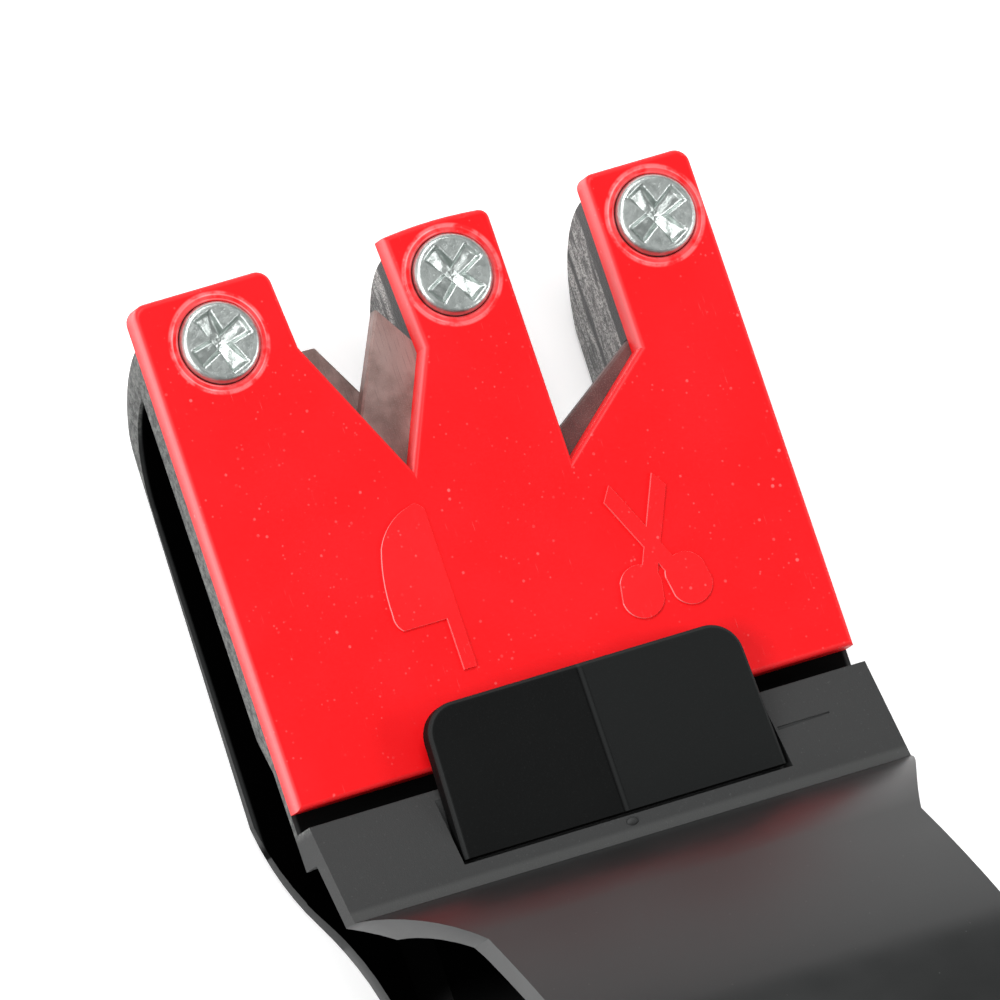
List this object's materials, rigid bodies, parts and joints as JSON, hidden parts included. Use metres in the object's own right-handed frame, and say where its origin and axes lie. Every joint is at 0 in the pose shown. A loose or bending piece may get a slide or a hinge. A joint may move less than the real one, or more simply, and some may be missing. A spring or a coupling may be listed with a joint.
{
  "type": "hand-held knife and scissors sharpener",
  "caption": "Pull-through sharpener with a red notched plate over crossed carbide blades and a black loop handle that guards the fingers.",
  "frame": {"origin": "centre of the footprint, on the surface that the tool's back rests on", "axes": "+Z out of the face of the red plate, away from the rest surface; +Y along the tool towards its prongs; +X across the head"},
  "size_m": [0.0512, 0.1466, 0.0495],
  "materials": {
    "red_acetal": "satin, slightly translucent",
    "black_moulding": "fine spark-eroded grain, polished on the guard",
    "black_tongue": "fine matte grain",
    "zinc_plated_steel": "bright zinc",
    "sintered_carbide": "ground, fine grained"
  },
  "bodies": {
    "body": {"body_moulding": "black_moulding", "front_plate": "red_acetal", "knife_blade_front": "sintered_carbide", "knife_blade_rear": "sintered_carbide", "scissors_blade": "sintered_carbide", "plate_screw_left": "zinc_plated_steel", "plate_screw_middle": "zinc_plated_steel", "plate_screw_right": "zinc_plated_steel"},
    "tongue": {"clip_tongue": "black_tongue"}
  },
  "joints": [
    {"name": "tongue_flex", "type": "hinge", "parent": "body", "child": "tongue", "pos_m": [0.0006, 0.02095, 0.0166], "axis": [1, 0, 0], "range_deg": [0, 8], "stiffness_Nm_per_rad": 0.02}
  ]
}
